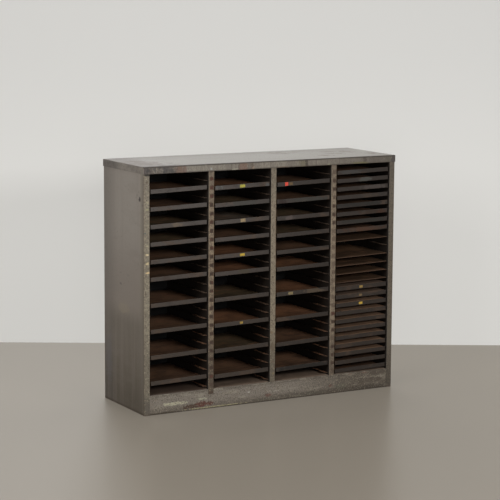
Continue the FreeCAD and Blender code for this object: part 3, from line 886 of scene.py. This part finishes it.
# %% Sizes and places of the tags
TAG_RISE = 8.3 * MM
TAGS = (
    ("bay_2_shelf_02", 2, -130.4, 21, 11, (168, 160, 62), (128, 122, 58)),
    ("bay_2_shelf_06", 6, -127.9, 20, 12, (148, 130, 98), (96, 76, 54)),
    ("bay_2_shelf_10", 10, -129.7, 20, 9, (182, 154, 52), (140, 112, 46)),
    ("bay_2_shelf_18", 18, -132.3, 13, 8, (150, 124, 56), (110, 88, 48)),
    ("bay_3_shelf_02", 2, 56.1, 13, 13, (214, 72, 54), (176, 60, 46)),
    ("bay_3_shelf_02", 2, 75.0, 15, 11, (94, 74, 46), (74, 58, 40)),
    ("bay_3_shelf_15", 15, 78.1, 20, 10, (118, 104, 72), (92, 80, 56)),
    ("bay_4_shelves_15_16", 15, 390.3, 15, 9, (140, 114, 58), (104, 84, 48)),
    ("bay_4_shelves_15_16", 16, 388.2, 14, 9, (100, 82, 54), (80, 64, 46)),
    ("bay_4_shelves_17_18", 17, 389.6, 16, 9, (182, 152, 54), (140, 112, 48)))
print(len(TAGS), "tags")


# %% Paper tags on the shelves
def paper_tag(name, left, slot, x, width, height):
    """A tag stuck to a lip, its lower right corner coming loose."""
    lip_bottom = slot_height(slot) + (x - left) * SHELF_SLOPE
    middle = Vector((x, LIP_FACE * MM, lip_bottom + TAG_RISE))
    mesh = bmesh.new()
    bmesh.ops.create_grid(mesh, x_segments=6, y_segments=4, size=0.5)
    for vertex in mesh.verts:
        across, up = vertex.co.x, vertex.co.y
        ragged = 0.03 * noise.noise(Vector((across * 5, up * 5, x * 1000)))
        loose = max(0.0, across - up - 0.55) ** 2 * 2.2 * MM
        aside = (across + ragged) * width
        vertex.co = middle + Vector((aside, -loose, (up + ragged) * height + aside * SHELF_SLOPE))
    thicken(mesh)
    return finish_piece(mesh, name)


def ride_with(piece, node):
    """Puts a paper piece on the body that carries a CAD node."""
    bodies = frame["record"]["behaviour"]["bodies"]
    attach(piece, next(name for name, members in bodies.items() if node in members))


for number, (node, slot, x, width, height, colour, soiled) in enumerate(TAGS, start=1):
    tag = paper_tag("tag_%02d" % number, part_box(node)[0].x, slot, x * MM, width * MM, height * MM)
    coat(paper("tag %d paper" % number, colour, soiled, 0.45), tag.name)
    ride_with(tag, node)


# %% [markdown]
# Nine of the last bay's shelves hold brown card, stacked level with the top of the lip. A stack is one
# cube, scaled to size, then sheared so that it leans with its shelf. It starts behind the lip's hem and
# rides on its shelf.

# %% Stacks of card on the lower shelves
STACKED = {
    "bay_4_shelves_15_16": (15, 16), "bay_4_shelves_17_18": (17, 18), "bay_4_shelves_19_20": (19, 20),
    "bay_4_shelves_21_22": (21, 22), "bay_4_shelves_23_24_25": (23,)}
STACK_RISE = 1.2 * MM
STACK_MARGIN = 4 * MM
STACK_HEIGHT = LIP_HEIGHT - STACK_RISE - 0.3 * MM
STACK_DEPTH = 290 * MM


def card_stack(name, left, slot):
    """A block of card that fills one shelf up to the top of its lip."""
    width = SHELF_SIZE.x - 2 * STACK_MARGIN
    bottom = slot_height(slot) + STACK_RISE
    mesh = bmesh.new()
    bmesh.ops.create_cube(mesh, size=1.0)
    bmesh.ops.scale(mesh, vec=(width, STACK_DEPTH, STACK_HEIGHT), verts=mesh.verts)
    middle = Vector((left + STACK_MARGIN + width / 2, LIP_FACE * MM + STACK_MARGIN + STACK_DEPTH / 2,
                     bottom + STACK_HEIGHT / 2))
    for vertex in mesh.verts:
        vertex.co += middle
        vertex.co.z += (vertex.co.x - left) * SHELF_SLOPE
    bmesh.ops.recalc_face_normals(mesh, faces=mesh.faces)
    return finish_piece(mesh, name)


def stacked_card():
    """Brown card; the cut edges of its sheets show as fine level lines."""
    card = Finish("stacked brown card", (122, 93, 68), 0.85)
    card.layer(card.cloud(36.0, 0.45, 0.62, stretch=(0.4, 1, 1)), (100, 71, 48), 0.6)
    card.layer(card.cloud(160.0, 0.5, 0.6, stretch=(0.03, 0.03, 6)), (84, 62, 44), 0.35)
    card.layer(card.along("Z", 355, 372), (88, 69, 54), 0.8)
    return card.done(peel=0.5, dents=0.0, strength=0.3, distance=0.0003)


brown_card = stacked_card()
for node, slots in STACKED.items():
    for slot in slots:
        stack = card_stack("bay_4_card_%02d" % slot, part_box(node)[0].x, slot)
        coat(brown_card, stack.name)
        ride_with(stack, node)


# %% [markdown]
# The cabinet stands on a plain pale floor in front of a plain pale wall. The wall doesn't stop light from
# behind and can't be seen from its back, so a camera on that side still sees the cabinet. The floor looks
# paler to the camera than it is to the light, so it doesn't flood the dark bays.

# %% Floor and wall
FLOOR_SIZE = 30.0
WALL_DISTANCE = 7.78
WALL_HEIGHT = 6.0


def backdrop(name, width, depth, placing):
    """One large face, floor or wall, in the camera's heading."""
    mesh = bmesh.new()
    bmesh.ops.create_grid(mesh, x_segments=1, y_segments=1, size=0.5)
    bmesh.ops.scale(mesh, vec=(width, depth, 1), verts=mesh.verts)
    heading = Matrix.Translation((CAMERA_PLACE.x, CAMERA_PLACE.y, 0)) @ Matrix.Rotation(-HEADING, 4, "Z")
    bmesh.ops.transform(mesh, matrix=heading @ placing, verts=mesh.verts)
    return finish_piece(mesh, name)


def backdrop_material(name, seen, high_up, lit, roughness, share, one_sided):
    """Pale to the camera and in reflections, and a plain surface to the light."""
    material = bpy.data.materials.new(name)
    material.use_nodes = True
    tree = material.node_tree
    surface = tree.nodes["Principled BSDF"]
    surface.inputs["Base Color"].default_value = paint(*lit)
    surface.inputs["Roughness"].default_value = roughness
    parts = place(tree, "SeparateXYZ", tree.nodes.new("ShaderNodeTexCoord").outputs["Object"]).outputs
    shade = colour_mix(tree, soft_step(tree, parts["Z"], 0.3, 1.7), paint(*seen), paint(*high_up))
    glow = place(tree, "Emission", shade, 1.0).outputs[0]
    path = tree.nodes.new("ShaderNodeLightPath").outputs
    direct = sum_of(tree, "MAXIMUM", path["Is Camera Ray"], path["Is Glossy Ray"])
    direct = sum_of(tree, "MAXIMUM", direct, path["Is Transmission Ray"])
    mixed = place(tree, "MixShader", sum_of(tree, "MULTIPLY", direct, share), surface.outputs[0], glow)
    if one_sided:
        behind = tree.nodes.new("ShaderNodeNewGeometry").outputs["Backfacing"]
        clear = tree.nodes.new("ShaderNodeBsdfTransparent").outputs[0]
        mixed = place(tree, "MixShader", behind, mixed.outputs[0], clear)
    fill(tree, tree.nodes["Material Output"].inputs["Surface"], mixed.outputs[0])
    return material


upright = Matrix.Translation((0, WALL_DISTANCE, WALL_HEIGHT / 2)) @ Matrix.Rotation(math.pi / 2, 4, "X")
floor = backdrop("floor", FLOOR_SIZE, FLOOR_SIZE, Matrix())
wall = backdrop("wall", FLOOR_SIZE, WALL_HEIGHT, upright)
wall.visible_shadow = False
coat(backdrop_material(
    "plain floor", (160, 152, 140), (160, 152, 140), (122, 114, 103), 0.3, 0.3, False), "floor")
coat(backdrop_material(
    "plain wall", (225, 224, 220), (190, 189, 187), (226, 225, 221), 0.9, 0.5, True), "wall")
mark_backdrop(floor, wall)


# %% [markdown]
# One broad lamp stands in front, a little right of the middle and above the cap, so light falls some way
# into each bay. A second, at the left, lights the side, and a weaker one fills it from the front. One more
# hangs over the cap, and the last, behind, keeps the back readable. Their power is set so that grey paint
# renders about as it is written.

# %% Lamps and surroundings
def lamp(name, place_at, aim, width, height, power):
    """A soft rectangular lamp that faces a point."""
    light = bpy.data.lights.new(name, "AREA")
    light.shape, light.size, light.size_y, light.energy = "RECTANGLE", width, height, power
    holder = add_object(name, light)
    holder.location = place_at
    holder.rotation_euler = (Vector(aim) - Vector(place_at)).to_track_quat("-Z", "Y").to_euler()
    print(name, power, "W")


lamp("front lamp", (0.7, -4.66, 1.82), (0, 0, 0.45), 1.75, 0.65, 122)
lamp("left lamp", (-4.0, -1.9, 2.5), (-0.4, 0, 0.6), 2.2, 1.8, 100)
lamp("overhead lamp", (0.0, 0.3, 3.6), (0, 0.1, 0.5), 3.0, 2.0, 52)
lamp("fill lamp", (-2.9, -5.2, 1.05), (0, 0, 0.5), 1.6, 1.2, 40)
lamp("rear lamp", (1.2, 4.6, 2.4), (0, 0, 0.5), 2.4, 2.0, 90)

world = bpy.data.worlds.new("surroundings")
bpy.context.scene.world = world
world.use_nodes = True
seen = world.node_tree.nodes.new("ShaderNodeLightPath").outputs["Is Camera Ray"]
background = world.node_tree.nodes["Background"]
background.inputs["Color"].default_value = (1.0, 0.99, 0.97, 1.0)
fill(world.node_tree, background.inputs["Strength"], place(
    world.node_tree, "MapRange", seen, 0.0, 1.0, 0.12, 0.62).outputs[0])


# %% [markdown]
# The last step compares the finished model's box with the imported one.

# %% Sizes and finish
visual_low, visual_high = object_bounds()
change = (visual_high - visual_low) - (cad_high - cad_low)
print("size change, mm", [round(c / MM, 2) for c in change])
